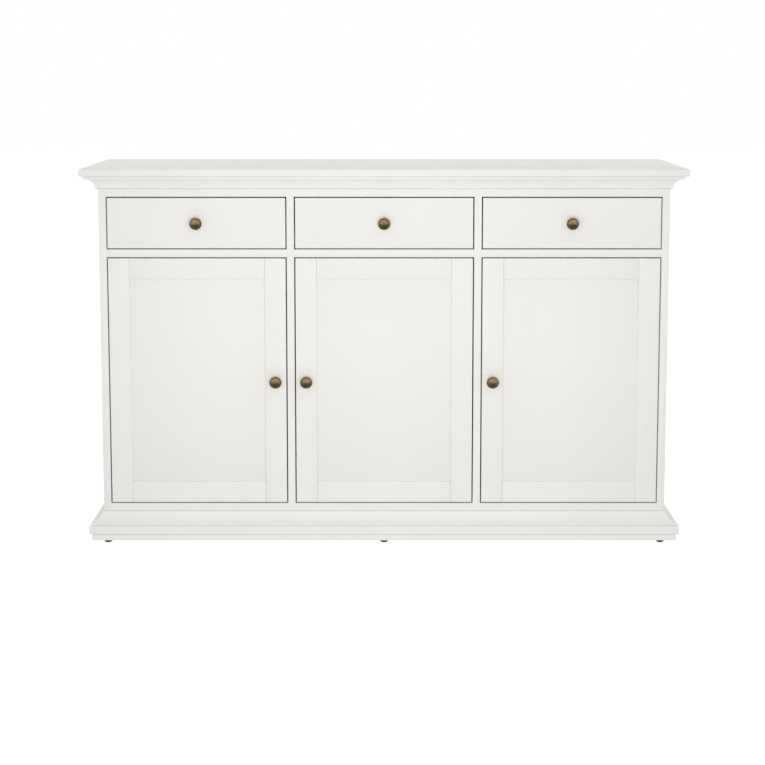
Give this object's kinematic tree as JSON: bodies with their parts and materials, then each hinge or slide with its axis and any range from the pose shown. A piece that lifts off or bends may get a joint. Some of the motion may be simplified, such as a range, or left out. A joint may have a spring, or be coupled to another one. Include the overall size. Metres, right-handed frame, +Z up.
{
  "type": "sideboard buffet",
  "caption": "Painted sideboard buffet with a row of drawers over framed cupboard doors, a moulded cornice and plinth, and round bronze knobs.",
  "frame": {"origin": "on the floor, below the middle of the whole object's box", "axes": "+X to the right along the front, +Y towards the back, +Z up; the doors and drawers open towards -Y"},
  "size_m": [1.48, 0.45, 0.931],
  "materials": {
    "white_outside": "satin white paint on board",
    "white_inside": "matt white foil on board",
    "beech": "bare fluted beech",
    "antique_bronze": "antique bronze, lacquered",
    "nickel_steel": "nickel-plated",
    "white_epoxy_steel": "white epoxy coat",
    "white_nylon": "moulded nylon",
    "black_plastic": "moulded, matt"
  },
  "bodies": {
    "case": {"top_panel": "white_outside", "cornice_front": "white_outside", "cornice_sides": "white_outside", "top_batten": "white_inside", "side_panel_left": "white_outside", "side_panel_right": "white_outside", "partition_left": "white_inside", "partition_right": "white_inside", "lid_board": "white_outside", "drawer_boards": "white_outside", "floor_board": "white_outside", "back_panel": "white_inside", "dowels": "beech", "plinth_front": "white_outside", "plinth_sides": "white_outside", "plinth_back": "white_outside", "glides": "black_plastic", "shelves": "white_inside", "shelf_pins": "nickel_steel", "case_rails": "white_epoxy_steel", "hinge_arms": "nickel_steel"},
    "drawer_left": {"drawer_front_left": "white_outside", "drawer_sides_left": "white_inside", "drawer_back_left": "white_inside", "drawer_bottom_left": "white_inside", "drawer_knob_left": "antique_bronze", "drawer_rails_left": "white_epoxy_steel"},
    "door_left": {"door_stiles_left": "white_outside", "door_rails_left": "white_outside", "door_panel_left": "white_outside", "door_knob_left": "antique_bronze", "hinge_cups_left": "nickel_steel"},
    "rear_rollers_left": {"drawer_rollers_left": "white_nylon"},
    "front_rollers_left": {"case_rollers_left": "white_nylon"},
    "drawer_centre": {"drawer_front_centre": "white_outside", "drawer_sides_centre": "white_inside", "drawer_back_centre": "white_inside", "drawer_bottom_centre": "white_inside", "drawer_knob_centre": "antique_bronze", "drawer_rails_centre": "white_epoxy_steel"},
    "door_centre": {"door_stiles_centre": "white_outside", "door_rails_centre": "white_outside", "door_panel_centre": "white_outside", "door_knob_centre": "antique_bronze", "hinge_cups_centre": "nickel_steel"},
    "rear_rollers_centre": {"drawer_rollers_centre": "white_nylon"},
    "front_rollers_centre": {"case_rollers_centre": "white_nylon"},
    "drawer_right": {"drawer_front_right": "white_outside", "drawer_sides_right": "white_inside", "drawer_back_right": "white_inside", "drawer_bottom_right": "white_inside", "drawer_knob_right": "antique_bronze", "drawer_rails_right": "white_epoxy_steel"},
    "door_right": {"door_stiles_right": "white_outside", "door_rails_right": "white_outside", "door_panel_right": "white_outside", "door_knob_right": "antique_bronze", "hinge_cups_right": "nickel_steel"},
    "rear_rollers_right": {"drawer_rollers_right": "white_nylon"},
    "front_rollers_right": {"case_rollers_right": "white_nylon"}
  },
  "joints": [
    {"name": "drawer_slide_left", "type": "slide", "parent": "case", "child": "drawer_left", "axis": [0, -1, 0], "range_m": [0, 0.26]},
    {"name": "rear_roller_spin_left", "type": "hinge", "parent": "drawer_left", "child": "rear_rollers_left", "pos_m": [-0.46067, 0.171, 0.7543], "axis": [1, 0, 0], "continuous": true},
    {"name": "front_roller_spin_left", "type": "hinge", "parent": "case", "child": "front_rollers_left", "pos_m": [-0.46067, -0.139, 0.7547], "axis": [1, 0, 0], "continuous": true},
    {"name": "door_hinge_left", "type": "hinge", "parent": "case", "child": "door_left", "pos_m": [-0.6795, -0.1855, 0.403], "axis": [0, 0, -1], "range_deg": [0, 100]},
    {"name": "drawer_slide_centre", "type": "slide", "parent": "case", "child": "drawer_centre", "axis": [0, -1, 0], "range_m": [0, 0.26]},
    {"name": "rear_roller_spin_centre", "type": "hinge", "parent": "drawer_centre", "child": "rear_rollers_centre", "pos_m": [0, 0.171, 0.7543], "axis": [1, 0, 0], "continuous": true},
    {"name": "front_roller_spin_centre", "type": "hinge", "parent": "case", "child": "front_rollers_centre", "pos_m": [0, -0.139, 0.7547], "axis": [1, 0, 0], "continuous": true},
    {"name": "door_hinge_centre", "type": "hinge", "parent": "case", "child": "door_centre", "pos_m": [0.21883, -0.1855, 0.403], "axis": [0, 0, 1], "range_deg": [0, 100]},
    {"name": "drawer_slide_right", "type": "slide", "parent": "case", "child": "drawer_right", "axis": [0, -1, 0], "range_m": [0, 0.26]},
    {"name": "rear_roller_spin_right", "type": "hinge", "parent": "drawer_right", "child": "rear_rollers_right", "pos_m": [0.46067, 0.171, 0.7543], "axis": [1, 0, 0], "continuous": true},
    {"name": "front_roller_spin_right", "type": "hinge", "parent": "case", "child": "front_rollers_right", "pos_m": [0.46067, -0.139, 0.7547], "axis": [1, 0, 0], "continuous": true},
    {"name": "door_hinge_right", "type": "hinge", "parent": "case", "child": "door_right", "pos_m": [0.6795, -0.1855, 0.403], "axis": [0, 0, 1], "range_deg": [0, 100]}
  ],
  "couplings": [
    {"joint": "rear_roller_spin_left", "follows": "drawer_slide_left", "rad_per_m": 90.909},
    {"joint": "front_roller_spin_left", "follows": "drawer_slide_left", "rad_per_m": 90.909},
    {"joint": "rear_roller_spin_centre", "follows": "drawer_slide_centre", "rad_per_m": 90.909},
    {"joint": "front_roller_spin_centre", "follows": "drawer_slide_centre", "rad_per_m": 90.909},
    {"joint": "rear_roller_spin_right", "follows": "drawer_slide_right", "rad_per_m": 90.909},
    {"joint": "front_roller_spin_right", "follows": "drawer_slide_right", "rad_per_m": 90.909}
  ]
}
